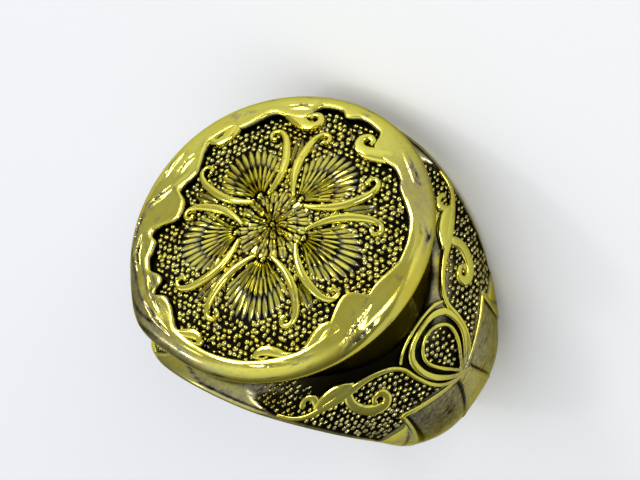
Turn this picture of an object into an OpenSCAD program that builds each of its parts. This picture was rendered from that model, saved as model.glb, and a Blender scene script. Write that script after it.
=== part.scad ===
// A cast signet ring with a round domed head, lying on one of its flat sides.
// The ring is modelled upright, with the finger hole along Y and the face up +Z,
// and is then leaned back until its side lies level.

/* [Finger hole] */
// Radius of the finger hole
bore_r = 10.1; // [9:0.05:11]

/* [Head] */
// Radius of the round head at its rim
head_r = 12.9; // [12.6:0.05:13.4]
// Height of the middle of the rim above the middle of the finger hole
rim_z = 13.5; // [13.2:0.05:14]
// Radius of the full-round rim
rim_round = 1.2; // [0.8:0.05:1.4]
// Radius of the domed face
dome_r = 60; // [40:1:120]
// Radius of the neck that joins the head to the shoulders
neck_r = 10.95; // [10.8:0.05:11.5]

/* [Band] */
// Half the width of the band at the height of the finger hole's middle
half_w = 8.3; // [8:0.05:8.6]
// How much each flat side moves in for every millimetre down towards the back
side_slope = 0.49; // [0.46:0.01:0.51]
// Fullness of the crown across the band, higher is flatter with rounder edges
crown_power = 2.8; // [2.2:0.1:3.4]

/* [Hidden] */

// Sections of the band, from under the head round to the back: angle from the face,
// radius along the middle, radius at the side edges, and how far the sides stand out
// from the ring's two flat planes. A minus sign is a side that is hollowed in, and what
// stands out is cut off level.
BAND = [
    [0,   12.4,  11.0,  0.5],
    [35,  12.9,  11.15, -0.1],
    [60,  13.2,  11.35, -0.35],
    [80,  14.0,  11.5,  -0.4],
    [100, 14.6,  11.7,  -0.05],
    [125, 13.0,  11.4,  0.5],
    [150, 12.5,  11.35, 0.5],
    [180, 12.4,  11.35, 0.5],
];
ANGLE = 0;
MIDDLE = 1;
EDGE = 2;
SIDE = 3;

step = 5;                           // degrees from one lofted section to the next
across = 12;                        // facets across the crown
inner_r = bore_r - 1.2;             // the loft's inner wall, which the hole removes
neck_foot = 4;                      // where the neck starts, inside the solid under the head
reach = 20;                         // half the length of what cuts right through the ring
spare = 1;                          // how far a cutting outline runs past the ring
lean = atan(side_slope);            // angle between a flat side and the ring's middle plane

// The dome runs into the rim's rounding without a break, on the line through both middles
rim_mid = head_r - rim_round;
dome_tip = asin(rim_mid / (dome_r - rim_round));
dome_z = rim_z - (dome_r - rim_round) * cos(dome_tip);
top_z = dome_z + dome_r;
round_curve = 96;                   // facets round the head, the rim and the hole

// Slope of a column of the table at row i, for a smooth curve through the rows
function rise(col, i) =
    i == 0 || i == len(BAND) - 1 ? 0
    : let (back = (BAND[i][col] - BAND[i - 1][col]) / (BAND[i][ANGLE] - BAND[i - 1][ANGLE]),
           ahead = (BAND[i + 1][col] - BAND[i][col]) / (BAND[i + 1][ANGLE] - BAND[i][ANGLE]))
      back * ahead <= 0 ? 0 : 2 * back * ahead / (back + ahead);

// Value of a column at angle a, between rows i and i + 1
function between(col, a, i) =
    let (span = BAND[i + 1][ANGLE] - BAND[i][ANGLE],
         t = (a - BAND[i][ANGLE]) / span)
    (2 * t ^ 3 - 3 * t ^ 2 + 1) * BAND[i][col]
    + (t ^ 3 - 2 * t ^ 2 + t) * span * rise(col, i)
    + (3 * t ^ 2 - 2 * t ^ 3) * BAND[i + 1][col]
    + (t ^ 3 - t ^ 2) * span * rise(col, i + 1);

function row_of(a, i = 0) =
    i >= len(BAND) - 2 || a < BAND[i + 1][ANGLE] ? i : row_of(a, i + 1);

// The table serves both shoulders: 200 degrees is read as 160
function folded(a) = a > 180 ? 360 - a : a;
function radius(col, a) = between(col, folded(a), row_of(folded(a)));

// Half the width between the two flat sides at a height
function half_at(z) = half_w + side_slope * z;

// Corners of one section, as [radius, y]: the inner wall and then the crown
function section(a) =
    let (edge = radius(EDGE, a),
         middle = radius(MIDDLE, a),
         side = radius(SIDE, a),
         inner_y = half_at(inner_r * cos(a)) + side,
         edge_y = half_at(edge * cos(a)) + side,
         crown_y = edge_y - max(side, 0))
    concat(
        [[inner_r, inner_y]],
        [for (i = [0 : across])
            let (y = edge_y * cos(180 * i / across),
                 u = min(abs(y) / crown_y, 1))
            [middle - (middle - edge) * u ^ crown_power, y]],
        [[inner_r, -inner_y]]
    );

// The band and shoulders as one ring-shaped loft
module band() {
    angles = [for (a = [0 : step : 360 - step]) a];
    count = across + 3;
    rings = len(angles);
    points = [for (a = angles) for (p = section(a)) [p[0] * sin(a), p[1], p[0] * cos(a)]];
    faces = [for (j = [0 : rings - 1]) for (i = [0 : count - 1])
        let (k = (j + 1) % rings, n = (i + 1) % count)
        each [[j * count + i, k * count + n, j * count + n],
              [j * count + i, k * count + i, k * count + n]]];
    polyhedron(points, faces, convexity = 6);
}

// The round head: a straight neck, a full-round rim and a domed face
module head() {
    rotate_extrude($fn = round_curve) {
        translate([0, neck_foot]) square([neck_r, rim_z - neck_foot]);
        translate([0, rim_z - rim_round]) square([rim_mid, rim_round]);
        translate([rim_mid, rim_z]) circle(rim_round, $fn = round_curve);
        intersection() {
            translate([0, dome_z]) circle(dome_r, $fn = round_curve * 2);
            translate([0, rim_z]) square([dome_r * sin(dome_tip), top_z]);
        }
    }
}

// What lies between the two flat sides
module between_sides() {
    low = -radius(MIDDLE, 180) - spare;
    high = top_z + spare;
    rotate([90, 0, 90])
        translate([0, 0, -reach])
            linear_extrude(2 * reach)
                polygon([
                    [half_at(low), low],
                    [half_at(high), high],
                    [-half_at(high), high],
                    [-half_at(low), low],
                ]);
}

module signet_ring() {
    color("goldenrod")
        rotate([90 - lean, 0, 0])
            difference() {
                intersection() {
                    union() {
                        band();
                        head();
                    }
                    between_sides();
                }
                rotate([90, 0, 0])
                    cylinder(h = 2 * reach, r = bore_r, center = true, $fn = round_curve);
            }
}

signet_ring();
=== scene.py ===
import math

import bpy
import numpy as np
from mathutils import Matrix, Quaternion, Vector


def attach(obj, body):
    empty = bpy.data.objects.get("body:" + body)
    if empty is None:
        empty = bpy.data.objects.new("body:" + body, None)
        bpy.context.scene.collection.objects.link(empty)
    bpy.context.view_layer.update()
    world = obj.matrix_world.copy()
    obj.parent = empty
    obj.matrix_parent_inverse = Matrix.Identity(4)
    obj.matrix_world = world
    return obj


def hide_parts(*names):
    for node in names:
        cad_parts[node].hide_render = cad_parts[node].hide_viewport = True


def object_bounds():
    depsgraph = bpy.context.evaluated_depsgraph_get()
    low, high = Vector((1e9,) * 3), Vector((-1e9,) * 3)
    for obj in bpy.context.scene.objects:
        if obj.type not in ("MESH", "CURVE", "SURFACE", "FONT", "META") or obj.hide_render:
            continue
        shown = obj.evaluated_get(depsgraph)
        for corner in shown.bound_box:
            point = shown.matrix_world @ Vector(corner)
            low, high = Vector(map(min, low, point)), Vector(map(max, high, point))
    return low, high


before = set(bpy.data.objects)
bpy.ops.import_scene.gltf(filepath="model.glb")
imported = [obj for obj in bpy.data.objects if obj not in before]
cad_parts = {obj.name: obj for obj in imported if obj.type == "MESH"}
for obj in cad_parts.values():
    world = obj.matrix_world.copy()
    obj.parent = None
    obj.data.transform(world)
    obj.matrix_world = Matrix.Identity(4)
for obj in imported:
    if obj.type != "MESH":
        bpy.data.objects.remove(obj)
cad_box = [list(corner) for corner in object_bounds()]

# The band
# The ring is one heavy brass casting, plated in gold and then blackened. Its band tapers from
# the head round to the back between two flat sides, and the finger hole is turned true.
# It is modelled upright in millimetres, the hole along Y and the face up, and then laid down.
MM = 0.001
BORE_R = 10.1
HALF_W = 8.3
SIDE_SLOPE = 0.49
LEAN = math.pi / 2 - math.atan(SIDE_SLOPE)     # from upright to lying on a flat side
CROWN_POWER = 2.8
NECK_R = 10.95
SECTIONS = np.array([  # angle from the face, middle radius, edge radius, stand-out of the sides
    [0, 12.4, 11.0, 0.5],
    [35, 12.9, 11.15, -0.1],
    [60, 13.2, 11.35, -0.35],
    [80, 14.0, 11.5, -0.4],
    [100, 14.6, 11.7, -0.05],
    [125, 13.0, 11.4, 0.5],
    [150, 12.5, 11.35, 0.5],
    [180, 12.4, 11.35, 0.5],
])
MIDDLE, EDGE, SIDE = 1, 2, 3
EDGE_ROUND = 0.5
HOLE_ROUND = 0.35
GROUND_DEPTH = 0.32                # the shoulders' ground lies this far below the crown
PANEL_START = 84.3                 # degrees from the face, in the middle of a shoulder
PANEL_SIDE_Y = 6.2                 # where a panel ends towards the ring's flat side


def size_at(column, angle):
    """A column of SECTIONS at these angles, on a smooth curve through its rows."""
    knots, values = SECTIONS[:, 0], SECTIONS[:, column]
    rises = np.diff(values) / np.diff(knots)
    slopes = np.zeros(len(knots))
    for i in range(1, len(knots) - 1):
        back, ahead = rises[i - 1], rises[i]
        if back * ahead > 0:
            slopes[i] = 2 * back * ahead / (back + ahead)
    row = np.clip(np.searchsorted(knots, angle, side="right") - 1, 0, len(knots) - 2)
    span = knots[row + 1] - knots[row]
    t = (angle - knots[row]) / span
    return ((2 * t**3 - 3 * t**2 + 1) * values[row]
            + (t**3 - 2 * t**2 + t) * span * slopes[row]
            + (3 * t**2 - 2 * t**3) * values[row + 1]
            + (t**3 - t**2) * span * slopes[row + 1])


def half_width(angle, radius):
    """Half the width between the sides, at this radius from the finger hole's axis."""
    side = size_at(SIDE, angle)
    hollow = 0.5 * (side - np.sqrt(side**2 + 0.01))
    return HALF_W + SIDE_SLOPE * radius * np.cos(np.radians(angle)) + hollow


def crown(angle, y):
    """Radius of the band's rounded outside."""
    middle, edge = size_at(MIDDLE, angle), size_at(EDGE, angle)
    u = np.minimum(np.abs(y) / half_width(angle, edge), 1.15)
    return middle - (middle - edge) * u**CROWN_POWER


def on_band(angle, y, lift):
    """Points of the band's outside, raised by lift along its normal."""
    nudge = 0.05
    turn = np.radians(angle)
    radius = crown(angle, y)
    fall = (crown(angle + nudge, y) - crown(angle - nudge, y)) / np.radians(2 * nudge) / radius
    tip = (crown(angle, y + nudge) - crown(angle, y - nudge)) / (2 * nudge)
    size = lift / np.sqrt(1 + fall**2 + tip**2)
    out, along = radius + size, -fall * size
    return np.stack([out * np.sin(turn) + along * np.cos(turn), y - tip * size,
                     out * np.cos(turn) - along * np.sin(turn)], axis=-1)


def curve_between(start, corner, end, steps):
    """A rounded corner from start to end, each a pair of (radius, y), without its first point."""
    found = []
    for k in range(1, steps + 1):
        t = k / steps
        found.append(tuple((1 - t)**2 * a + 2 * t * (1 - t) * b + t**2 * c
                           for a, b, c in zip(start, corner, end)))
    return found


def straight_between(start, end, steps):
    """Points on a straight line, without its first point."""
    return [tuple(a + (b - a) * k / steps for a, b in zip(start, end)) for k in range(1, steps + 1)]


def panel_front(y):
    """Angle at which a shoulder's plain panels begin, this far from its middle."""
    return PANEL_START - np.maximum(y - 0.9, 0) * 1.62


def tongue_edge(angle):
    """Half the width of the plain tongue between the two panels."""
    return 0.75 + np.maximum(angle - 88, 0) * 0.07


def blackened_lines(angle, y):
    """1 along the dark lines inside a panel's frame and beside the tongue, 0 elsewhere."""
    y = np.abs(y)
    beside_front = np.exp(-((angle - panel_front(y) - 1.5) / 0.6)**2) * (y < 6.0)
    beside_side = np.exp(-((y - 5.85) / 0.13)**2) * np.clip((angle - 77) / 2, 0, 1)
    beside_tongue = np.exp(-((y - tongue_edge(angle) - 0.24) / 0.12)**2) * np.clip(angle - 86, 0, 1)
    margin = np.exp(-((y - 6.3 - 0.07 * (angle - 82)) / 0.12)**2) * np.clip((angle - 81) / 2, 0, 1)
    fading = np.clip((106 - angle) / 10, 0, 1)
    return np.maximum.reduce([beside_front, beside_side, beside_tongue, margin]) * fading


def ornament(angle, y):
    """How deep the shoulder is sunk: 1 on its pebbled ground, half that on its panels, 0 where
    it is smooth."""
    y = np.abs(y)
    share = y / half_width(angle, size_at(EDGE, angle))
    before_panels = np.clip((panel_front(y) - angle) / 1.2, 0, 1)
    beside_panels = np.clip((81 - angle) / 1.5, 0, 1) * np.clip((y - PANEL_SIDE_Y) / 0.25, 0, 1)
    margin = 0.022 + np.maximum(36 - angle, 0) * 0.004
    inside = np.clip((1 - margin - share) / 0.03, 0, 1) * np.clip((angle - 16) / 14, 0, 1)
    panel = 0.5 * np.clip((y - tongue_edge(angle)) / 0.2, 0, 1) * np.clip((6.4 - y) / 0.2, 0, 1)
    panel = panel * np.clip((108 - angle) / 10, 0, 1) * np.clip((angle - 70) / 2, 0, 1)
    return np.maximum(np.maximum(before_panels, beside_panels) * inside, panel)


NECK_PATINA_AND_SHADE = (  # direction from +X in degrees, gold left: patina in the channel, with painted shade and painted highlights by direction
    (0, 0.45), (60, 0.80), (105, 0.62), (130, 0.0), (168, 0.0), (184, 0.34), (192, 0.42), (198, 0.68),
    (204, 0.44), (209, 0.85), (215, 0.42), (222, 0.90), (228, 0.95), (290, 0.6), (360, 0.45),
)


def neck_patina_and_shade(x, y):
    """Gold left on the neck and the channel at its foot, in the direction of a spot from the head's axis:
    patina in the channel, with painted shade and painted highlights laid over it by direction. It is
    blackest beside the shoulder towards -X, and patchy next to that."""
    direction = np.degrees(np.arctan2(y, x)) % 360
    directions, gold_left = zip(*NECK_PATINA_AND_SHADE)
    return np.interp(direction, directions, gold_left)


CROWN_STEPS = 64                   # corners along half a section, part by part
CORNER_STEPS = 6
SIDE_STEPS = 2
BORE_STEPS = 8


def band_section(angle):
    """Half a section of the band at these angles, from the crown's middle to the bore's."""
    edge = size_at(EDGE, angle)
    edge_y = half_width(angle, edge)
    inner_y = half_width(angle, BORE_R)
    slope = (edge_y - inner_y) / (edge - BORE_R)
    points = []
    for k in range(CROWN_STEPS + 1):
        y = (edge_y - EDGE_ROUND) * k / CROWN_STEPS
        points.append((crown(angle, y) - GROUND_DEPTH * ornament(angle, y), y))
    below = (edge - EDGE_ROUND, edge_y - slope * EDGE_ROUND)
    above = (BORE_R + HOLE_ROUND, inner_y + slope * HOLE_ROUND)
    inside = (BORE_R, inner_y - HOLE_ROUND)
    points += curve_between(points[-1], (edge, edge_y), below, CORNER_STEPS)
    points += straight_between(below, above, SIDE_STEPS)
    points += curve_between(above, (BORE_R, inner_y), inside, CORNER_STEPS)
    points += straight_between(inside, (BORE_R, 0), BORE_STEPS)
    return points


def picked(outline, v):
    """Both measures of every corner, on an outline whose points lie evenly along v."""
    index = np.rint(v * (len(outline) - 1)).astype(int)
    first, second = 0 * v, 0 * v
    for k, (one, other) in enumerate(outline):
        here = index == k
        first[here], second[here] = (one + 0 * v)[here], (other + 0 * v)[here]
    return first, second


def formed(name, columns, rows, place):
    """A grid whose corners go where place(u, v) says, u and v running from 0 to 1, closed at its
    seams and poles."""
    bpy.ops.object.select_all(action="DESELECT")
    bpy.ops.mesh.primitive_grid_add(x_subdivisions=columns, y_subdivisions=rows, size=1)
    piece = bpy.context.object
    piece.name = name
    spots = np.empty(3 * len(piece.data.vertices))
    piece.data.vertices.foreach_get("co", spots)
    spots = spots.reshape(-1, 3)
    points, wear_and_shade = place(spots[:, 0] + 0.5, spots[:, 1] + 0.5)
    piece.data.vertices.foreach_set("co", points.ravel())
    mask = piece.data.attributes.new("wear_and_shade", "FLOAT", "POINT")
    mask.data.foreach_set("value", wear_and_shade.ravel())
    bpy.ops.object.mode_set(mode="EDIT")
    bpy.ops.mesh.select_all(action="SELECT")
    bpy.ops.mesh.remove_doubles(threshold=0.002)
    bpy.ops.mesh.normals_make_consistent(inside=False)
    bpy.ops.object.mode_set(mode="OBJECT")
    return piece


CLEAN = 1.2                        # wear of the finger hole, too smooth for scuffs
CHANNEL_WIDTH = 1.7                # the neck's blackening and painted shade run this far out over the shoulders
RIM_SHADOW_AT = 0.962                  # where a painted shadow line under the rim lies, as a share of the band's half width


def band_place(u, v):
    """The whole band: u runs round the ring and v round a section. Its panels are washed dark, with
    painted shade on their +Y side, and past them towards the back it is greyed by a blackening wash and
    painted shade. Its side edges are grimy beside the shoulders, with a painted shadow line under the
    rim, and its back is polished."""
    turn = 360 * u
    folded = np.where(turn > 180, 360 - turn, turn)
    half = band_section(folded)
    radius, y = picked(half + [(ring, -side) for ring, side in half[-2:0:-1]] + [half[0]], v)
    angle = np.radians(turn)
    points = np.stack([radius * np.sin(angle), y, radius * np.cos(angle)], axis=-1)
    sunk = np.clip(ornament(folded, y) * 2 - 1, 0, 1)
    panel = np.clip(ornament(folded, y) * 2, 0, 1)
    outside = radius > BORE_R + HOLE_ROUND
    from_axis = np.hypot(points[:, 0], y)
    under_head = outside & (points[:, 2] > 4)
    near_neck = np.where(under_head, np.clip((NECK_R + CHANNEL_WIDTH - from_axis) / 0.6, 0, 1), 0)
    corner = np.clip((from_axis - NECK_R) / 0.35, 0.2, 1)
    # painted shade, partly a blackening wash: the band past the panels is greyed towards the back
    wash_and_shade = 0.3 * np.clip((folded - 82) / 6, 0, 1) * np.clip((135 - folded) / 30, 0, 1)
    # painted shade: the panels are darker on their +Y side
    painted_panel_shade = 0.17 * np.clip(y / 3, 0, 1)
    polished = 0.2 * np.clip((folded - 125) / 20, 0, 1)
    share = np.abs(y) / half_width(folded, size_at(EDGE, folded))
    grime_and_shade = 0.26 * np.clip((share - 0.88) / 0.08, 0, 1) * np.clip((105 - folded) / 15, 0, 1)
    # painted shadow: a dark line on the band just under the rim, with grime beside it
    shadow_line_at = RIM_SHADOW_AT - 0.005 * np.where(turn < 180, folded, 0)
    beside_rim = np.clip((42 - folded) / 10, 0, 1) * np.clip((shadow_line_at + 0.013 - share) / 0.012, 0, 1)
    painted_rim_shadow = beside_rim * np.clip(1 - np.abs(share - shadow_line_at) / 0.014, 0, 1)
    grime_and_shade = grime_and_shade + 0.16 * beside_rim + 0.40 * painted_rim_shadow
    wear_and_shade = (1 + polished - np.maximum(wash_and_shade, grime_and_shade) - (0.40 - wash_and_shade + painted_panel_shade) * panel
            - 0.60 * sunk - 0.45 * blackened_lines(folded, y))
    # the neck's patina and painted shade, set by direction, run out over the band beside the neck
    wear_and_shade = wear_and_shade + (neck_patina_and_shade(points[:, 0], y) * corner - wear_and_shade) * near_neck
    return points, np.where(outside, wear_and_shade, CLEAN)


BAND_STEPS = 480
SECTION_STEPS = 2 * (CROWN_STEPS + CORNER_STEPS + SIDE_STEPS + CORNER_STEPS + BORE_STEPS)
band = formed("ring_band", BAND_STEPS, SECTION_STEPS, band_place)


ANTIQUING = (  # wear, colour from the black in the recesses to the polished gold
    (0.0, (0.005, 0.0045, 0.002)), (0.24, (0.020, 0.018, 0.010)), (0.46, (0.150, 0.138, 0.088)),
    (0.66, (0.34, 0.32, 0.160)), (0.80, (0.46, 0.43, 0.095)), (1.0, (0.63, 0.59, 0.10)),
)
WARM_PATCHES = (1.0, 0.86, 0.50, 1)
GLOSS_TINT = (0.72, 0.66, 0.34, 1)
SCUFFS_ABOVE = 0.585               # how much of the streaks' pattern stays clear of scuffs
SCUFF_DEPTH = 3.2


def plating_wear_and_shade():
    """Node group for the whole ring: polished gold where the mask is 1, black antiquing where it is 0. On
    the band and the head the mask also carries painted shade and painted highlights.
    """
    group = bpy.data.node_groups.new("plating_wear_and_shade", "ShaderNodeTree")
    group.interface.new_socket("Wear_and_shade", in_out="INPUT", socket_type="NodeSocketFloat")
    group.interface.new_socket("Polish", in_out="INPUT", socket_type="NodeSocketFloat")
    group.interface.new_socket("Color", in_out="OUTPUT", socket_type="NodeSocketColor")
    group.interface.new_socket("Roughness", in_out="OUTPUT", socket_type="NodeSocketFloat")
    group.interface.new_socket("Height", in_out="OUTPUT", socket_type="NodeSocketFloat")
    nodes, links = group.nodes, group.links
    entry = nodes.new("NodeGroupInput")
    leave = nodes.new("NodeGroupOutput")
    place = nodes.new("ShaderNodeTexCoord")

    def noise(scale, detail, rough, vector=place.outputs["Object"]):
        made = nodes.new("ShaderNodeTexNoise")
        made.inputs["Scale"].default_value = scale
        made.inputs["Detail"].default_value = detail
        made.inputs["Roughness"].default_value = rough
        links.new(vector, made.inputs["Vector"])
        return made.outputs["Fac"]

    def sums(operation, first, second, third=None):
        made = nodes.new("ShaderNodeMath")
        made.operation = operation
        for socket, value in zip(made.inputs, (first, second, third)):
            if isinstance(value, (int, float)):
                socket.default_value = value
            elif value is not None:
                links.new(value, socket)
        return made.outputs[0]

    upright = nodes.new("ShaderNodeMapping")
    upright.vector_type = "TEXTURE"
    upright.inputs["Rotation"].default_value = (LEAN, 0, 0)
    upright.inputs["Scale"].default_value = (0.002, 0.002, 0.0003)
    links.new(place.outputs["Object"], upright.inputs["Vector"])
    blotches = noise(900, 5, 0.6)
    tint = noise(260, 2, 0.5)
    grain = noise(5200, 4, 0.6)
    waves = noise(330, 1, 0.4)
    streaks = noise(1, 4, 0.6, upright.outputs["Vector"])
    fine = noise(3000, 3, 0.6)
    ragged = sums("MULTIPLY_ADD", fine, 0.5, sums("MULTIPLY_ADD", blotches, 0.4, -0.45))
    edge = sums("MULTIPLY", sums("SUBTRACT", 1.0, entry.outputs["Wear_and_shade"]), entry.outputs["Wear_and_shade"])
    mask = sums("MULTIPLY_ADD", sums("MULTIPLY", edge, 3.4), ragged, entry.outputs["Wear_and_shade"])
    scuffs = sums("MAXIMUM", sums("SUBTRACT", streaks, SCUFFS_ABOVE), 0.0)
    mask = sums("MULTIPLY_ADD", scuffs, -SCUFF_DEPTH, mask)
    ramp = nodes.new("ShaderNodeValToRGB")
    while len(ramp.color_ramp.elements) < len(ANTIQUING):
        ramp.color_ramp.elements.new(0.5)
    for element, (position, colour) in zip(ramp.color_ramp.elements, ANTIQUING):
        element.position = position
        element.color = (*colour, 1)
    links.new(mask, ramp.inputs["Fac"])
    warm = nodes.new("ShaderNodeMix")
    warm.data_type = "RGBA"
    warm.blend_type = "MULTIPLY"
    warm.inputs["B"].default_value = WARM_PATCHES
    links.new(ramp.outputs["Color"], warm.inputs["A"])
    links.new(sums("MULTIPLY", sums("SUBTRACT", tint, 0.44), 2.4), warm.inputs["Factor"])
    links.new(warm.outputs["Result"], leave.inputs["Color"])
    clean = sums("MINIMUM", sums("MAXIMUM", mask, 0.0), 1.0)
    dull = sums("MULTIPLY_ADD", clean, -0.22, 0.38)
    mottled = sums("MULTIPLY_ADD", sums("SUBTRACT", blotches, 0.5), 0.16, dull)
    links.new(sums("SUBTRACT", mottled, entry.outputs["Polish"]), leave.inputs["Roughness"])
    relief = sums("MULTIPLY_ADD", grain, 0.05, sums("MULTIPLY_ADD", streaks, 0.08, waves))
    links.new(relief, leave.inputs["Height"])
    return group


def antiqued_gold(name, polish, bump):
    """Finish of one part of the ring: polish lowers its roughness, bump is its casting grain."""
    material = bpy.data.materials.new(name)
    material.use_nodes = True
    nodes, links = material.node_tree.nodes, material.node_tree.links
    surface = nodes["Principled BSDF"]
    wear_and_shade = nodes.new("ShaderNodeAttribute")
    wear_and_shade.attribute_name = "wear_and_shade"
    plating = nodes.new("ShaderNodeGroup")
    plating.node_tree = PLATING
    plating.inputs["Polish"].default_value = polish
    grain = nodes.new("ShaderNodeBump")
    grain.inputs["Strength"].default_value = bump
    grain.inputs["Distance"].default_value = 0.1 * MM
    links.new(wear_and_shade.outputs["Fac"], plating.inputs["Wear_and_shade"])
    links.new(plating.outputs["Color"], surface.inputs["Base Color"])
    surface.inputs["Metallic"].default_value = 1
    surface.inputs["Specular Tint"].default_value = GLOSS_TINT
    links.new(plating.outputs["Roughness"], surface.inputs["Roughness"])
    links.new(plating.outputs["Height"], grain.inputs["Height"])
    links.new(grain.outputs["Normal"], surface.inputs["Normal"])
    return material


def finish_piece(piece, material, smooth_angle=50):
    """Lays an upright piece on the ring's flat side, in metres, and gives it its finish."""
    bpy.ops.object.select_all(action="DESELECT")
    bpy.context.view_layer.objects.active = piece
    piece.select_set(True)
    piece.data.transform(Matrix.Rotation(LEAN, 4, "X") @ Matrix.Scale(MM, 4))
    bpy.ops.object.shade_smooth_by_angle(angle=math.radians(smooth_angle))
    piece.data.materials.clear()
    piece.data.materials.append(material)
    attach(piece, "root")


PLATING = plating_wear_and_shade()
smooth_gold = antiqued_gold("smooth_gold", 0.03, 0.5)
finish_piece(band, smooth_gold)
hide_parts("signet_ring")

# The head
# A round drum on a narrow neck, cast with the band. Its full-round rim rolls over into a smooth
# raised border, whose inner edge is scalloped, and the floor inside the border is sunk.
RIM_MID = 11.7
RIM_ROUND = 1.2
RIM_Z = 13.5
DOME_R = 60.0
FLOOR_DEPTH = 0.65
FOOT_R = 11.2                      # the head ends inside the band's wall, this far from the axis
DOME_TIP = math.asin(RIM_MID / (DOME_R - RIM_ROUND))
DOME_Z = RIM_Z - (DOME_R - RIM_ROUND) * math.cos(DOME_TIP)
BORDER = (  # direction from +X in degrees, radius of the inner edge between lobes
    (0, 9.5), (4, 9.6), (5.5, 9.1), (8.5, 8.5), (14, 8.3), (19, 8.4), (22, 8.8), (23.5, 10.1),
    (26, 10.6), (35, 10.7), (60, 11.0), (77, 11.05), (95, 11.4), (113, 11.5), (135, 11.3),
    (150, 10.9), (180, 11.0), (200, 11.2), (217, 10.95), (224, 10.75), (236, 10.6), (244, 10.8),
    (252, 10.9), (255, 11.45), (262, 11.55), (281, 11.55), (286, 11.4), (288.5, 10.9), (337, 10.9),
    (341, 10.45), (346, 9.7), (351, 9.2), (356, 9.25), (360, 9.5),
)
LOBES = (  # direction from +X in degrees, half width, negative where it is swept the other way, reach
    (34, -5, 0.5), (50, 5, 1.0), (67, -9, 0.85),
    (-44, 8, 0.5), (-64, -9, 0.85), (-89, 4, 0.5), (-115.5, 8.5, 0.9), (-141, 9, 0.3),
    (159, 12, 1.9), (180, -10, 0.6),
)
VEINS = (  # leaf lines cut in the border, each through points of the face with its depth
    ((-10.8, 6.9, 0.0), (-11.05, 4.3, 0.16), (-11.1, 1.9, 0.0)),
    ((-10.9, 6.7, 0.0), (-11.8, 4.4, 0.16), (-12.3, 2.2, 0.0)),
    ((-5.6, -10.9, 0.0), (-7.4, -9.5, 0.09), (-8.9, -8.3, 0.0)),
    ((-10.6, -6.2, 0.0), (-11.7, -5.0, 0.12), (-12.2, -3.4, 0.0)),
    ((11.8, 3.2, 0.0), (11.1, 1.7, 0.13), (10.5, 0.2, 0.0)),
    ((12.0, 0.6, 0.0), (12.1, -1.3, 0.12), (11.9, -3.2, 0.0)),
    ((10.9, -0.2, 0.0), (10.9, -1.8, 0.09), (10.5, -3.2, 0.0)),
    ((10.4, 5.2, 0.0), (9.7, 6.9, 0.17), (8.6, 8.2, 0.0)),
    ((11.5, 3.4, 0.0), (11.2, 4.9, 0.16), (10.5, 6.3, 0.0)),
    ((7.6, 7.9, 0.0), (6.4, 9.2, 0.12), (4.6, 10.4, 0.0)),
    ((5.9, -9.9, 0.0), (4.6, -10.6, 0.10), (3.5, -10.9, 0.0)),
    ((6.6, 10.0, 0.0), (4.6, 11.1, 0.10), (2.4, 11.7, 0.0)),
    ((-4.4, 11.2, 0.0), (-6.4, 10.2, 0.10), (-8.3, 8.9, 0.0)),
)
VEIN_WIDTH = 0.12
LIP = 0.07                         # how far the border's inner edge rises
LOBE_TIP = 0.72                    # where across its width a lobe reaches furthest
CORNER_STEP = 0.6                  # degrees from one spot to the next where corners are rounded
CORNER_WEIGHTS = (1, 2, 3, 4, 3, 2, 1)


def border_edge(direction):
    """Radius of the border's inner edge, in degrees from +X. Its lobes are leaves swept aside,
    with rounded tips and corners."""
    directions, radii = zip(*BORDER)
    edge = 0 * direction
    for step, weight in enumerate(CORNER_WEIGHTS, -3):
        spot = direction + CORNER_STEP * step
        reach = 0 * direction
        for middle, half, depth in LOBES:
            share = np.clip(0.5 + 0.5 * ((spot - middle + 180) % 360 - 180) / half, 0, 1)
            rise = np.sin(0.5 * np.pi * np.minimum(share / LOBE_TIP, 1))
            fall = np.sqrt(np.clip(1 - ((share - LOBE_TIP) / (1 - LOBE_TIP))**2, 0, 1))
            reach = np.maximum(reach, depth * np.where(share < LOBE_TIP, rise, fall))
        edge = edge + weight / sum(CORNER_WEIGHTS) * (np.interp(spot % 360, directions, radii) - reach)
    return edge


def dome(radius, lift=0.0):
    """Height of the domed face at this radius from the middle of the face."""
    return DOME_Z + np.sqrt((DOME_R + lift)**2 - radius**2)


SWELLS = ((-30, 28, 0.22), (62, 13, 0.55))     # direction from +X in degrees, spread, how far out


def swell(direction):
    """How far the rim is out of round in a direction from +X, as it came from the casting."""
    around = (direction + 180) % 360 - 180
    return sum(out * np.exp(-((around - middle) / spread)**2) for middle, spread, out in SWELLS)


def veins_at(x, y):
    """How deep the leaf lines are cut at these spots of the face, less the ridge beside them."""
    cut, ridge = 0 * x, 0 * x
    for vein in VEINS:
        for (ax, ay, a_depth), (bx, by, b_depth) in zip(vein, vein[1:]):
            way_x, way_y = bx - ax, by - ay
            length = math.hypot(way_x, way_y)
            t = np.clip(((x - ax) * way_x + (y - ay) * way_y) / length**2, 0, 1)
            away = np.hypot(x - ax - t * way_x, y - ay - t * way_y)
            side = ((x - ax) * way_y - (y - ay) * way_x) / length
            depth = a_depth + (b_depth - a_depth) * t
            cut = np.maximum(cut, depth * np.clip(1 - (away / VEIN_WIDTH)**2, 0, 1))
            beside = np.hypot(away - 1.8 * VEIN_WIDTH, np.minimum(side, 0))
            ridge = np.maximum(ridge, 0.8 * depth * np.clip(1 - (beside / (1.6 * VEIN_WIDTH))**2, 0, 1))
    return cut, ridge


RIM_START = -112                   # degrees round the rim's section, where it leaves the neck
FOOT_STEPS = 8                     # corners along half a section, part by part
WALL_STEPS = 6
RIM_STEPS = 24
BORDER_STEPS = 24
EDGE_STEPS = 8
FLOOR_STEPS = 16


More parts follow.
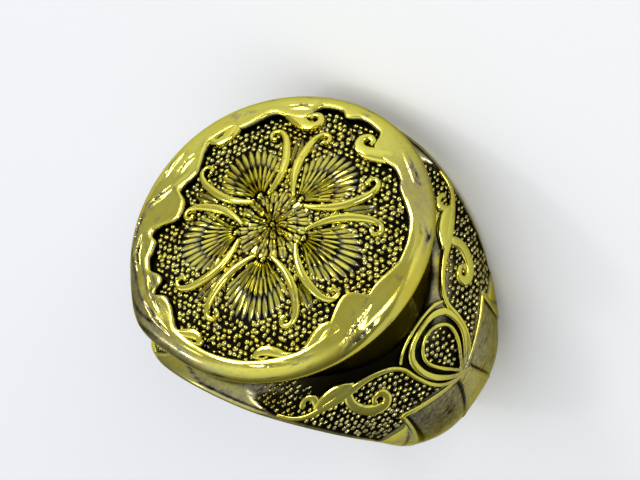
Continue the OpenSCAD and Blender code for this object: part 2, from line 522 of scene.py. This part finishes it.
def head_place(u, v):
    """The whole head: u runs round it, and v from under its middle, over the rim, to its top."""
    turn = 2 * np.pi * u
    inner = border_edge(np.degrees(turn) % 360)

    def bottom(radius):
        return np.sqrt(np.maximum(FOOT_R**2 - (radius * np.cos(turn))**2, 4.2**2))

    half = [(0, FOOT_R)]
    half += [(NECK_R * k / FOOT_STEPS, bottom(NECK_R * k / FOOT_STEPS)) for k in range(1, FOOT_STEPS + 1)]
    under = math.radians(RIM_START)
    over = math.pi / 2 - DOME_TIP
    neck_top = (RIM_MID + RIM_ROUND * math.cos(under), RIM_Z + RIM_ROUND * math.sin(under))
    half += straight_between(half[-1], neck_top, WALL_STEPS)
    for k in range(1, RIM_STEPS + 1):
        a = under + (over - under) * k / RIM_STEPS
        half.append((RIM_MID + RIM_ROUND * math.cos(a), RIM_Z + RIM_ROUND * math.sin(a)))
    rim_top = half[-1][0]
    lip = LIP * (0.55 + 0.45 * np.sin(9 * turn) * np.sin(5 * turn + 2))
    for k in range(1, BORDER_STEPS + 1):
        r = rim_top + (inner + 0.3 - rim_top) * k / BORDER_STEPS
        half.append((r, dome(r) + lip * np.exp(-((r - inner - 0.5) / 0.25)**2)))
    low = (inner - 0.04, dome(inner) - FLOOR_DEPTH + 0.02)
    half += curve_between(half[-1], (inner - 0.02, dome(inner) + LIP / 2), low, EDGE_STEPS)
    for k in range(1, FLOOR_STEPS + 1):
        r = (inner - 0.04) * (1 - k / FLOOR_STEPS)
        half.append((r, dome(r, -FLOOR_DEPTH)))
    radius, z = picked(half, v)
    outer = np.clip((radius - 10.8) / 1.0, 0, 1) * np.clip(z - 11.4, 0, 1)
    radius = radius + swell(np.degrees(turn)) * outer
    x, y = radius * np.cos(turn), radius * np.sin(turn)
    cut, ridge = veins_at(x, y)
    on_top = (z > RIM_Z) & (radius > inner + 0.2)
    cut = np.where(on_top, cut, 0)
    points = np.stack([x, y, z - cut + np.where(on_top, ridge, 0)], axis=-1)
    direction = np.degrees(turn)
    sunk = np.clip((dome(radius) - z) / 0.35, 0, 1)
    below_rim = RIM_Z - z
    # the roll darkens towards its underside: partly patina in the groove under it, partly painted shade
    # under the rim
    roll_gold_and_shade = np.clip(1.6 - below_rim / 0.6, 0, 1)
    # below the roll the wall takes the neck's patina and painted shade
    wall = neck_patina_and_shade(x, y) * np.clip((below_rim - 1.1) / 0.5, 0, 1)
    # painted shade: the rim is darker round direction 222, where it reflects the bright table
    painted_rim_shade = 0.26 * np.clip(1 - np.abs((direction - 222) / 34), 0, 0.8)
    rim_only = np.clip((radius - 11.6) / 0.8, 0, 1)
    smoky = 0.05 + 0.5 * np.clip(1 - np.abs(direction - 62) / 62, 0, 0.6) * rim_only
    smeared = np.clip(1 - np.abs(direction - 54) / 30, 0, 0.6) * np.clip(z - 12.9, 0, 1)
    streaks = np.clip(np.sin(8.5 * radius + 13 * turn + 1.6 * np.sin(11 * turn)) - 0.1, 0, 1)
    smoky = smoky + 0.62 * smeared * streaks
    wear_and_shade = np.where(radius < inner + 0.28, 1 - sunk, np.maximum(roll_gold_and_shade, wall)) * (1 - painted_rim_shade) - smoky
    return points, wear_and_shade - np.clip(cut / 0.12, 0, 1) * 0.5


HEAD_COLUMNS = 720
HEAD_ROWS = FOOT_STEPS + WALL_STEPS + RIM_STEPS + BORDER_STEPS + EDGE_STEPS + FLOOR_STEPS
head = formed("ring_head", HEAD_COLUMNS, HEAD_ROWS, head_place)
finish_piece(head, smooth_gold)

# The face's pebbled ground
# The floor of the face is matted all over with small rounded grains in staggered rows, punched
# in the model before casting. Their tops are worn bright, and the gaps between stay black.
GRAIN = 0.54
SUNK = 0.03                        # how far a relief's foot is let into the ground


def half_ball(segments, rings):
    """The upper half of a ball one unit wide, long and high, whose poles lie along Y."""
    bpy.ops.object.select_all(action="DESELECT")
    bpy.ops.mesh.primitive_uv_sphere_add(segments=segments, ring_count=rings, radius=0.5)
    made = bpy.context.object
    bpy.ops.object.mode_set(mode="EDIT")
    bpy.ops.mesh.select_all(action="SELECT")
    bpy.ops.transform.rotate(value=math.pi / 2, orient_axis="X", center_override=(0, 0, 0))
    bpy.ops.mesh.bisect(plane_co=(0, 0, 0), plane_no=(0, 0, 1), clear_inner=True, use_fill=True)
    bpy.ops.mesh.select_all(action="SELECT")
    bpy.ops.transform.resize(value=(1, 1, 2))
    bpy.ops.object.mode_set(mode="OBJECT")
    return made


def set_out(name, pattern, places, worn=1.0):
    """Copies of a pattern as one flat piece, each place a row of x, y, turn in degrees, width,
    length, height, bend in degrees, and the share of its length that lies in the dark under its
    neighbours. The gold left on them grows from none at their feet to worn at their tops."""
    corners = np.array([v.co for v in pattern.data.vertices])
    faces = [list(p.vertices) for p in pattern.data.polygons]
    x, y, turn, width, length, height, bend, dark = np.array(places, float).T[:, :, None]
    turn, bend = np.radians(turn), np.radians(bend) + 1e-6
    across, up = corners[:, 0] * width, corners[:, 2] * height
    arc = length / bend
    swing = corners[:, 1] * bend
    along = (arc - across) * np.sin(swing)
    across = arc - (arc - across) * np.cos(swing)
    spots = np.stack([x + across * np.cos(turn) - along * np.sin(turn),
                      y + across * np.sin(turn) + along * np.cos(turn), up - SUNK], axis=-1)
    wear_and_shade = np.clip((up - SUNK) / (0.6 * (height - SUNK)), 0, 1)
    share = corners[:, 1] - corners[:, 1].min()
    wear_and_shade = worn * wear_and_shade * np.clip((share - dark) / 0.14, 0, 1)
    mesh = bpy.data.meshes.new(name)
    count = len(corners)
    mesh.from_pydata(spots.reshape(-1, 3), [],
                     [[i + k * count for i in face] for k in range(len(places)) for face in faces])
    mesh.attributes.new("wear_and_shade", "FLOAT", "POINT").data.foreach_set("value", wear_and_shade.ravel())
    piece = bpy.data.objects.new(name, mesh)
    bpy.context.scene.collection.objects.link(piece)
    return piece


def moved(piece, place):
    """Moves every corner of a flat piece to where place(x, y, height) says."""
    spots = np.empty(3 * len(piece.data.vertices))
    piece.data.vertices.foreach_get("co", spots)
    x, y, height = spots.reshape(-1, 3).T
    piece.data.vertices.foreach_set("co", place(x, y, height).ravel())
    piece.data.update()


def on_face(x, y, height):
    """Heights above the sunk floor of the domed face."""
    radius = np.hypot(x, y)
    return np.stack([x, y, dome(radius, -FLOOR_DEPTH) + height], axis=-1)


def staggered(left, right, low, high, pitch, chance):
    """Spots in staggered rows with a little unevenness."""
    spots = []
    for row in range(int((high - low) / (pitch * 0.87)) + 1):
        for column in range(int((right - left) / pitch) + 1):
            spots.append((left + (column + row % 2 / 2 + chance.uniform(-0.22, 0.22)) * pitch,
                          low + (row + chance.uniform(-0.22, 0.22)) * pitch * 0.87))
    return spots


EDGE_DIRECTIONS = np.arange(0, 360.5, 0.5)
EDGE_RADII = border_edge(EDGE_DIRECTIONS)


def face_edge(x, y):
    """Radius of the border's inner edge in the direction of a spot on the face."""
    return float(np.interp(math.degrees(math.atan2(y, x)) % 360, EDGE_DIRECTIONS, EDGE_RADII))


FANS = 5
FAN_TURN = 20                      # direction of the first palmette, in degrees from +Y
FAN_FOOT = 2.6
FAN_REACH = 5.9
ROSETTE_R = 3.2
NOT_DARK = -1


def from_centre(heading, forward, sideways):
    """A spot of the face that lies forward of its middle and to the right, seen along a heading."""
    away = math.radians(heading)
    return (-forward * math.sin(away) + sideways * math.cos(away),
            forward * math.cos(away) + sideways * math.sin(away))


def in_fan(x, y):
    """Whether a palmette will cover a spot."""
    for fan in range(FANS):
        foot_x, foot_y = from_centre(FAN_TURN + 360 * fan / FANS, FAN_FOOT, 0)
        heading = math.degrees(math.atan2(foot_x - x, y - foot_y))
        aside = abs((heading - FAN_TURN - 360 * fan / FANS + 180) % 360 - 180)
        if math.hypot(x - foot_x, y - foot_y) < FAN_REACH - 0.3 - (aside / 26)**2 and aside < 37:
            return True
    return False


chance = np.random.default_rng(5)
pebble = half_ball(8, 6)
face_spots = []
for x, y in staggered(-11.5, 11.5, -11.5, 11.5, GRAIN, chance):
    size = GRAIN * chance.uniform(0.72, 1.12)
    turn, height = chance.uniform(0, 180), chance.uniform(0.24, 0.48)
    if ROSETTE_R - 0.3 < math.hypot(x, y) < face_edge(x, y) - 0.12 and not in_fan(x, y):
        face_spots.append((x, y, turn, size, size * 1.25, height, 0, NOT_DARK))
face_pebbles = set_out("face_pebbles", pebble, face_spots)
moved(face_pebbles, on_face)
relief_gold = antiqued_gold("relief_gold", 0.07, 0.25)
finish_piece(face_pebbles, relief_gold)

# The rosette
# The middle of the face is a chrysanthemum of narrow overlapping petals round a beaded boss,
# carved in the model. Each tier stands a little higher than the one outside it.
TIERS = (  # petals, radius at the foot, length, width, height, share in the dark
    (20, 1.35, 2.0, 0.98, 0.52, 0.30),
    (15, 0.75, 1.65, 0.92, 0.68, 0.22),
    (9, 0.25, 1.2, 0.84, 0.82, 0.05),
)


def spindle(fullest, foot, segments=10, vein=0.0):
    """A rib one unit wide, long and high, from its foot at the origin to its round end. It is
    fullest at that share of its length, its foot is that share as wide, and a vein may run
    along its top."""
    rib = half_ball(segments, 16)
    for corner in rib.data.vertices:
        t = corner.co.y + 0.5
        rise = foot + (1 - foot) * min(t / fullest, 1)
        end = math.sqrt(max(1 - (max(t - fullest, 0) / (1 - fullest))**2, 0))
        start = min(t / 0.04, 1)
        girth = 2 * math.sqrt(max(t * (1 - t), 1e-6))
        groove = vein * math.exp(-(corner.co.x / girth / 0.1)**2)
        corner.co.x *= rise * end * start / girth
        corner.co.z *= min(0.75 + 0.5 * t, 1) * end * start / girth * (1 - groove)
        corner.co.y = t
    return rib


rib = spindle(0.8, 0.3)
petal = spindle(0.7, 0.35, segments=16, vein=0.4)
petals = []
for tier, (count, foot, length, width, height, dark) in enumerate(TIERS):
    for k in range(count):
        turn = 360 * (k + tier % 2 / 2) / count
        petals.append((*from_centre(turn, foot, 0), turn, width, length, height, 12, dark))
rosette = set_out("face_rosette", petal, petals)
moved(rosette, on_face)
finish_piece(rosette, relief_gold)
beads = [(0, 0, 0, 0.62, 0.62, 0.92, 0, NOT_DARK)]
for k in range(7):
    beads.append((*from_centre(360 * k / 7, 0.46, 0), 0, 0.36, 0.36, 0.86, 0, NOT_DARK))
boss = set_out("face_boss", pebble, beads)
moved(boss, on_face)
finish_piece(boss, relief_gold)

# The palmettes
# Five ribbed fans spring from under the rosette. Each has long ribs behind and short ones in
# front, like an opened fern.
ROWS = (  # ribs to each side, degrees apart, length, shortening, width, height, bend, share in the dark
    (6, 6.2, FAN_REACH, 0.045, 0.66, 0.46, -1.4, 0.57),
    (5, 7.2, 4.1, 0.035, 0.58, 0.62, -1.8, 0.44),
    (3, 11, 2.5, 0.03, 0.50, 0.78, -2.5, 0.28),
)


def inside_border(foot, turn, length):
    """The length, cut short where the end would run under the border."""
    away = math.radians(turn)
    while length > 0.5:
        x, y = foot[0] - length * math.sin(away), foot[1] + length * math.cos(away)
        if math.hypot(x, y) < face_edge(x, y) - 0.1:
            break
        length -= 0.1
    return length


fan_ribs = []
for fan in range(FANS):
    heading = FAN_TURN + 360 * fan / FANS
    foot = from_centre(heading, FAN_FOOT, 0)
    for beside, apart, length, shortening, width, height, bend, dark in ROWS:
        for k in range(-beside, beside + 1):
            turn = heading + apart * k
            reach = inside_border(foot, turn, length - shortening * k * k)
            fan_ribs.append((*foot, turn, width, reach, height + 0.05 * (k % 2), bend * k, dark))
fans = set_out("face_palmettes", rib, fan_ribs)
moved(fans, on_face)
finish_piece(fans, relief_gold)

# The stems
# A smooth rounded stem hugs each side of a fan and ends in a curl beside its tips.
STEM = [  # forward of the middle of the face, aside from the fan's middle, width
    (2.8, 0.6, 0.34), (3.3, 1.35, 0.50), (4.1, 2.25, 0.70), (5.1, 3.0, 0.80), (6.2, 3.5, 0.76),
    (7.3, 3.8, 0.62), (8.2, 3.65, 0.50), (8.45, 3.05, 0.42), (8.0, 2.75, 0.40), (7.6, 3.1, 0.44),
]


STEM_HEIGHT = 0.58
STEM_GAP = 0.35                    # from a stem's middle to the border, at the least


def route_through(points, u, closed=False):
    """Values along a smooth curve through points, u running from 0 to 1."""
    points = np.array(points, float)
    count = len(points) if closed else len(points) - 1
    place = np.clip(u, 0, 1) * count
    first = np.minimum(place.astype(int), count - 1)
    t = (place - first)[:, None]

    def knot(k):
        return points[k % len(points)] if closed else points[np.clip(k, 0, count)]

    a, b, c, d = knot(first - 1), knot(first), knot(first + 1), knot(first + 2)
    return 0.5 * (2 * b + (c - a) * t + (2 * a - 5 * b + 4 * c - d) * t**2
                  + (3 * b - a - 3 * c + d) * t**3)


def ribbon(points, height, closed=False):
    """A raised line with a flat top and rounded sides through points, rows of x, y and width,
    as a flat piece."""
    points = np.array(points, float)
    steps = np.diff(np.vstack([points, points[:1]]) if closed else points, axis=0)[:, :2]
    length = np.hypot(*steps.T).sum()
    columns = max(int(length / 0.11), 12)

    def place(u, v):
        centre = route_through(points, u, closed)
        nudge = 0.002
        if closed:
            ahead, back = (u + nudge) % 1, (u - nudge) % 1
        else:
            ahead, back = np.minimum(u + nudge, 1), np.maximum(u - nudge, 0)
        way = route_through(points, ahead, closed)[:, :2] - route_through(points, back, closed)[:, :2]
        way /= np.maximum(np.hypot(*way.T), 1e-9)[:, None]
        width = centre[:, 2]
        taper = 1 + 0 * u
        if not closed:
            from_end = np.clip(np.minimum(u, 1 - u) * length / (0.6 * width), 0, 1)
            taper = np.sqrt(1 - (1 - from_end)**2)
        top = v < 0.81
        around = np.clip(np.where(top, v / 0.8, 1 - (v - 0.8) / 0.2), 0, 1)
        across = -0.5 * width * np.cos(np.pi * around) * taper
        up = np.where(top, height * (1 - (1 - np.sin(np.pi * around))**2.2) * taper, 0)
        wear_and_shade = np.clip(up / (0.55 * height), 0, 1)
        spot = np.stack([centre[:, 0] - way[:, 1] * across, centre[:, 1] + way[:, 0] * across,
                         up - SUNK], axis=-1)
        return spot, wear_and_shade

    return formed("line", columns, 10, place)


def joined(name, pieces):
    """One piece of several."""
    bpy.ops.object.select_all(action="DESELECT")
    for piece in pieces:
        piece.select_set(True)
    bpy.context.view_layer.objects.active = pieces[0]
    bpy.ops.object.join()
    pieces[0].name = name
    return pieces[0]


stems = []
for fan in range(FANS):
    for side in (-1, 1):
        spots = [from_centre(FAN_TURN + 360 * fan / FANS, forward, side * aside)
                 for forward, aside, width in STEM]
        fitted = min(1, min((face_edge(x, y) - STEM_GAP) / math.hypot(x, y) for x, y in spots))
        stems.append(ribbon([(x * fitted, y * fitted, width)
                             for (x, y), (forward, aside, width) in zip(spots, STEM)], STEM_HEIGHT))
stems = joined("face_stems", stems)
moved(stems, on_face)
finish_piece(stems, relief_gold)

# The leaves and berries
# Between two fans stands a sprig: a veined leaf with curved ones beside it, over three berries.
# A larger berry sits on the foot of each fan.
LEAF_FOOT = 5.3
SPRIG = (  # forward, aside, turned outwards, width, length, height, bend outwards
    (LEAF_FOOT, 0.0, 0, 1.25, 3.5, 0.62, 0),
    (LEAF_FOOT + 0.5, 0.2, 16, 0.85, 2.9, 0.54, 42),
    (LEAF_FOOT + 0.1, 0.15, 26, 0.60, 1.7, 0.50, 50),
)
BERRIES = ((5.15, 0.72), (4.55, 0.60), (4.05, 0.50))       # forward, width
BERRY_HEIGHT = 0.62
LARGE_BERRY = 0.95
LARGE_BERRY_HEIGHT = 0.86
leaf = spindle(0.45, 0.25, segments=16, vein=0.45)
leaves, berries = [], []
for gap in range(FANS):
    heading = FAN_TURN + 360 * (gap + 0.5) / FANS
    for side in (-1, 1):
        for forward, aside, turned, width, length, height, bend in SPRIG:
            foot = from_centre(heading, forward, side * aside)
            turn = heading - side * turned
            reach = inside_border(foot, turn, length)
            leaves.append((*foot, turn, width, reach, height, side * bend, 0.05))
    for forward, size in BERRIES:
        berries.append((*from_centre(heading, forward, 0), 0, size, size, BERRY_HEIGHT, 0, NOT_DARK))
    large = from_centre(heading + 180 / FANS, FAN_FOOT + 0.5, 0)
    berries.append((*large, 0, LARGE_BERRY, LARGE_BERRY, LARGE_BERRY_HEIGHT, 0, NOT_DARK))
leaves = set_out("face_leaves", leaf, leaves)
moved(leaves, on_face)
finish_piece(leaves, relief_gold)
berries = set_out("face_berries", pebble, berries)
moved(berries, on_face)
finish_piece(berries, relief_gold)

# The border's curls
# Here and there the border's inner edge rolls up into a leaf end with a dark eye.
CURL = [  # along the border, inwards from its edge, width
    (-3.0, -1.5, 1.9), (-1.9, -0.7, 2.0), (-0.8, 0.2, 1.9), (0.3, 0.95, 1.6), (1.35, 1.05, 1.25),
    (1.95, 0.4, 1.0), (1.6, -0.35, 0.85), (0.85, -0.35, 0.7), (0.7, 0.2, 0.5),
]
CURLS = (  # direction from +X, the way round, size
    (84, 1, 0.65), (-32, 1, 0.75), (-69, -1, 0.75), (-110, 1, 0.8),
    (124, -1, 0.75), (145, 1, 0.75),
)


def on_border(x, y, height):
    """The same as on_face, with what would run over the rim drawn in."""
    radius = np.hypot(x, y)
    drawn_in = np.where(radius > 11.2, 11.2 + 0.3 * (radius - 11.2), radius) / radius
    return on_face(x * drawn_in, y * drawn_in, height)


curls = []
for direction, way_round, size in CURLS:
    edge = float(np.interp(direction % 360, EDGE_DIRECTIONS, EDGE_RADII)) + 0.25
    curls.append(ribbon([(*from_centre(direction - 90, edge - size * inwards, -way_round * size * along),
                          size * width) for along, inwards, width in CURL], FLOOR_DEPTH + 0.06))
curls = joined("border_curls", curls)
moved(curls, on_border)
finish_piece(curls, smooth_gold)

# The shoulders
# Each shoulder is sunk to a pebbled ground round a teardrop, with a scroll at each side of it.
# Two straps run along the teardrop, cross at its tip and frame the plain panels behind.
SHOULDER_R = 14.0                  # flat shoulder drawings are measured round a circle this big


def on_shoulder(x, y, height):
    """Heights above the ground of the shoulder towards +X."""
    return on_band(np.degrees(x / SHOULDER_R), y, height - GROUND_DEPTH)


def both_sides(points):
    """A shoulder line, rows of angle from the face, y and width, and its twin across the middle."""
    near = [(math.radians(angle) * SHOULDER_R, y, width) for angle, y, width in points]
    return near, [(x, -y, width) for x, y, width in near]


def on_both_shoulders(piece):
    """Wraps a flat piece on the shoulder towards +X, and adds its twin on the other one."""
    moved(piece, on_shoulder)
    bpy.ops.object.select_all(action="DESELECT")
    piece.select_set(True)
    bpy.context.view_layer.objects.active = piece
    mirror = piece.modifiers.new("other_shoulder", "MIRROR")
    mirror.use_axis = (True, False, False)
    mirror.use_mirror_merge = False
    bpy.ops.object.modifier_apply(modifier=mirror.name)


STRAP = [  # the outer strap, from the crossing along the teardrop and out along the neck
    (86.6, -0.75, 0.36), (84.6, 0.75, 0.36), (81, 1.95, 0.36), (76, 2.72, 0.40), (70, 3.12, 0.44),
    (64.4, 3.3, 0.44), (60.2, 3.9, 0.48), (56.8, 4.9, 0.54), (54.3, 6.0, 0.66), (52.6, 7.1, 0.90),
    (51.0, 8.1, 1.00), (49.4, 9.0, 0.90), (47.6, 9.9, 0.75), (45.6, 10.75, 0.60), (43.0, 11.4, 0.50),
    (39.5, 11.85, 0.42), (34.5, 12.2, 0.34),
]
SCROLL = [
    (51.6, 7.5, 1.00), (54.8, 7.95, 0.94), (58.6, 8.0, 0.94), (62.4, 7.7, 1.00), (65.6, 7.1, 1.05),
    (67.0, 6.4, 1.00), (65.8, 5.85, 0.88), (63.5, 5.75, 0.75), (61.9, 6.05, 0.62), (61.8, 6.55, 0.5),
    (62.9, 6.8, 0.45), (64.0, 6.6, 0.4),
]
CUSP = [(52.6, 6.7, 0.6), (50.0, 7.5, 1.2), (47.8, 8.3, 1.45), (46.4, 9.3, 1.2), (46.0, 10.3, 0.6)]
SPUR = [(48.6, 9.6, 0.7), (45.6, 9.75, 0.75), (42.6, 9.55, 0.70), (40.4, 9.9, 0.6), (40.8, 10.55, 0.5),
        (42.2, 10.45, 0.45)]
INNER_STRAP = [
    (86.2, -0.35, 0.40), (83.6, 0.62, 0.46), (79.8, 1.55, 0.54), (75, 2.36, 0.64), (70, 2.66, 0.70),
    (65.0, 2.45, 0.70), (62.1, 1.65, 0.60), (61.0, 0.55, 0.50), (61.0, -0.55, 0.50),
]
PANEL_FRONT = [
    (85.2, 0.2, 0.36), (83.2, 1.9, 0.42), (81.0, 3.3, 0.42), (78.6, 4.8, 0.42), (76.0, 6.15, 0.46),
]
PANEL_SIDE = [(75.6, 6.2, 0.48), (80, 6.2, 0.48), (86, 6.25, 0.46), (92, 6.35, 0.40), (99, 6.4, 0.3)]
PANEL_INNER = [(78.0, 5.55, 0.30), (79.6, 4.5, 0.30), (81.4, 3.4, 0.28), (82.8, 2.5, 0.24)]
TONGUE = [(86.2, 0.62, 0.30), (90, 0.72, 0.30), (95, 1.0, 0.28), (100, 1.45, 0.26), (106, 2.1, 0.2)]
DROP = [
    (64.0, 0, 0.34), (64.8, 0.86, 0.34), (67.2, 1.55, 0.36), (70.5, 1.78, 0.38), (75, 1.44, 0.36),
    (79.3, 0.78, 0.34), (83.2, 0.0, 0.32), (79.3, -0.78, 0.34), (75, -1.44, 0.36), (70.5, -1.78, 0.38),
    (67.2, -1.55, 0.36), (64.8, -0.86, 0.34),
]
ASIDE = 0.2                        # the teardrop and the strap round it sit this far off the middle
DARKER_FROM = 75                     # the lines are darker from this angle, beside the panels: partly a blackening wash, partly painted shade
WASH_AND_SHADE_ON_LINES = 0.26
COLLAR = [
    (62.0, 3.2, 0.26), (59.9, 2.4, 0.34), (58.8, 1.25, 0.36), (58.5, 0, 0.36), (58.8, -1.25, 0.36),
    (59.9, -2.4, 0.34), (62.0, -3.2, 0.26),
]


def off_middle(line):
    """A shoulder line, moved aside except at the teardrop's tip."""
    moved_line = []
    for x, y, width in line:
        from_tip = min(max((84 - math.degrees(x / SHOULDER_R)) / 8, 0), 1)
        moved_line.append((x, y - ASIDE * from_tip, width))
    return moved_line


lines = []
for points, height in ((STRAP, 0.38), (SCROLL, 0.40), (CUSP, 0.38), (SPUR, 0.34),
                       (PANEL_FRONT, 0.42), (PANEL_SIDE, 0.35), (PANEL_INNER, 0.38), (TONGUE, 0.38)):
    for side in both_sides(points):
        lines.append(ribbon(side, height))
for side in both_sides(INNER_STRAP):
    lines.append(ribbon(off_middle(side), 0.36))
lines.append(ribbon(off_middle(both_sides(DROP)[0]), 0.38, closed=True))
lines.append(ribbon(both_sides(COLLAR)[0], 0.42))
shoulder_lines = joined("shoulder_lines", lines)
spots = np.empty(3 * len(shoulder_lines.data.vertices))
wear_and_shade = np.empty(len(shoulder_lines.data.vertices))
gold_left = shoulder_lines.data.attributes["wear_and_shade"].data
shoulder_lines.data.vertices.foreach_get("co", spots)
gold_left.foreach_get("value", wear_and_shade)
# painted shade, partly a blackening wash: the lines beside the panels are darkened
behind = np.clip((np.degrees(spots[::3] / SHOULDER_R) - DARKER_FROM) / 7, 0, 1)
gold_left.foreach_set("value", wear_and_shade * (1 - WASH_AND_SHADE_ON_LINES * behind))
on_both_shoulders(shoulder_lines)
finish_piece(shoulder_lines, relief_gold)


def in_drop(angle, y):
    """Whether a spot lies in the teardrop's pebbled middle."""
    outline = [(p[0], p[1]) for p in DROP[:7]]
    angles, reach = zip(*outline)
    return 64.8 < angle < 80.3 and abs(y + ASIDE) < np.interp(angle, angles, reach) - 0.28


def on_ground(angle, y):
    """Whether a spot lies on the shoulder's open ground."""
    away = abs(y)
    inner = [(p[0], p[1]) for p in STRAP[::-1] if p[0] < 86]
    angles, reach = zip(*inner)
    clear_of_strap = away > np.interp(angle, angles, reach) + 0.2 if angle > 50 else away > 9.0
    before_panel = angle < 83.2 - max(away - 1.5, 0) * 1.6 if away < 6.3 else angle < 81
    edge = float(half_width(np.array(angle), size_at(EDGE, np.array(angle))))
    neck = math.hypot(SHOULDER_R * 0.93 * math.sin(math.radians(angle)), y)
    return clear_of_strap and before_panel and away < edge - 0.38 and neck > NECK_R + 0.5


COARSE_GRAIN = 0.56
ground_spots = []
left, right = (math.radians(angle) * SHOULDER_R for angle in (25, 83))
for x, y in staggered(left, right, -12.5, 12.5, COARSE_GRAIN, chance):
    angle = math.degrees(x / SHOULDER_R)
    size = COARSE_GRAIN * chance.uniform(0.72, 0.95)
    turn, height = chance.uniform(-30, 30), chance.uniform(0.2, 0.3)
    if in_drop(angle, y) or on_ground(angle, y):
        ground_spots.append((x, y, turn, size, size * 1.25, height, 0, NOT_DARK))
shoulder_pebbles = set_out("shoulder_pebbles", pebble, ground_spots, worn=0.92)
on_both_shoulders(shoulder_pebbles)
finish_piece(shoulder_pebbles, relief_gold)

for pattern in (pebble, rib, petal, leaf):
    bpy.data.objects.remove(pattern)

# The camera
# The photograph's own viewpoint, turned about its axis as the picture is.
CAMERA_AT = Vector((-106.44, -141.48, 124.54)) * MM
LOOKS_AT = Vector((-2.54, -11.78, 4.1)) * MM
ROLL = 129.34                      # degrees
LENS = 143.7                       # on a sensor 36 mm wide
view = bpy.data.cameras.new("camera")
view.lens = LENS
view.clip_start = 0.01
camera = bpy.data.objects.new("camera", view)
bpy.context.scene.collection.objects.link(camera)
camera.location = CAMERA_AT
upright = (LOOKS_AT - CAMERA_AT).to_track_quat("-Z", "Y")
camera.rotation_mode = "QUATERNION"
camera.rotation_quaternion = upright @ Quaternion((0, 0, 1), -math.radians(ROLL))
bpy.context.scene.camera = camera

# The table and the light
# A plain pale table top under a soft white studio light, with one large lamp and two fills.
bpy.ops.object.select_all(action="DESELECT")
bpy.ops.mesh.primitive_plane_add(size=3, location=(0, 0, cad_box[0][2]))
table = bpy.context.object
table.name = "table_top"
pale = bpy.data.materials.new("pale_table")
pale.use_nodes = True
pale.node_tree.nodes["Principled BSDF"].inputs["Base Color"].default_value = (0.91, 0.915, 0.925, 1)
pale.node_tree.nodes["Principled BSDF"].inputs["Roughness"].default_value = 0.6
table.data.materials.append(pale)

world = bpy.data.worlds.new("studio")
world.use_nodes = True
nodes, links = world.node_tree.nodes, world.node_tree.links
direction = nodes.new("ShaderNodeTexCoord")
split = nodes.new("ShaderNodeSeparateXYZ")
walls = nodes.new("ShaderNodeValToRGB")
WALLS = ((0.0, 0.48), (0.2, 0.47), (0.42, 0.43), (0.72, 0.76), (0.86, 1.42), (1.0, 1.58))
while len(walls.color_ramp.elements) < len(WALLS):
    walls.color_ramp.elements.new(0.5)
for element, (height, shade) in zip(walls.color_ramp.elements, WALLS):
    element.position = height
    element.color = (0.95 * shade, 0.97 * shade, shade, 1)
links.new(direction.outputs["Generated"], split.inputs["Vector"])
links.new(split.outputs["Z"], walls.inputs["Fac"])
across = nodes.new("ShaderNodeVectorMath")
across.operation = "DOT_PRODUCT"
across.inputs[1].default_value = (0.5, -0.87, 0)       # towards the bright side of the room
links.new(direction.outputs["Generated"], across.inputs[0])
rear = nodes.new("ShaderNodeMapRange")
rear.inputs["From Min"].default_value = -1.0
rear.inputs["To Min"].default_value = 0.4
rear.inputs["To Max"].default_value = 1.25
links.new(across.outputs["Value"], rear.inputs["Value"])
links.new(walls.outputs["Color"], nodes["Background"].inputs["Color"])
links.new(rear.outputs["Result"], nodes["Background"].inputs["Strength"])
bpy.context.scene.world = world


def lamp(name, heading, height, distance, size, power):
    """A soft square lamp that faces the ring, in degrees round from +X and up, and millimetres."""
    light = bpy.data.lights.new(name, "AREA")
    light.size = size * MM
    light.energy = power
    made = bpy.data.objects.new(name, light)
    bpy.context.scene.collection.objects.link(made)
    turn, rise = math.radians(heading), math.radians(height)
    made.location = Vector((math.cos(rise) * math.cos(turn), math.cos(rise) * math.sin(turn),
                            math.sin(rise))) * distance * MM
    made.rotation_euler = (-made.location).to_track_quat("-Z", "Y").to_euler()


lamp("overhead", -5, 58, 450, 60, 0.14)
lamp("window", -58, 13, 1200, 280, 4.1)
lamp("front", -125, 22, 1200, 420, 5.7)
bpy.context.scene.view_settings.view_transform = "Standard"
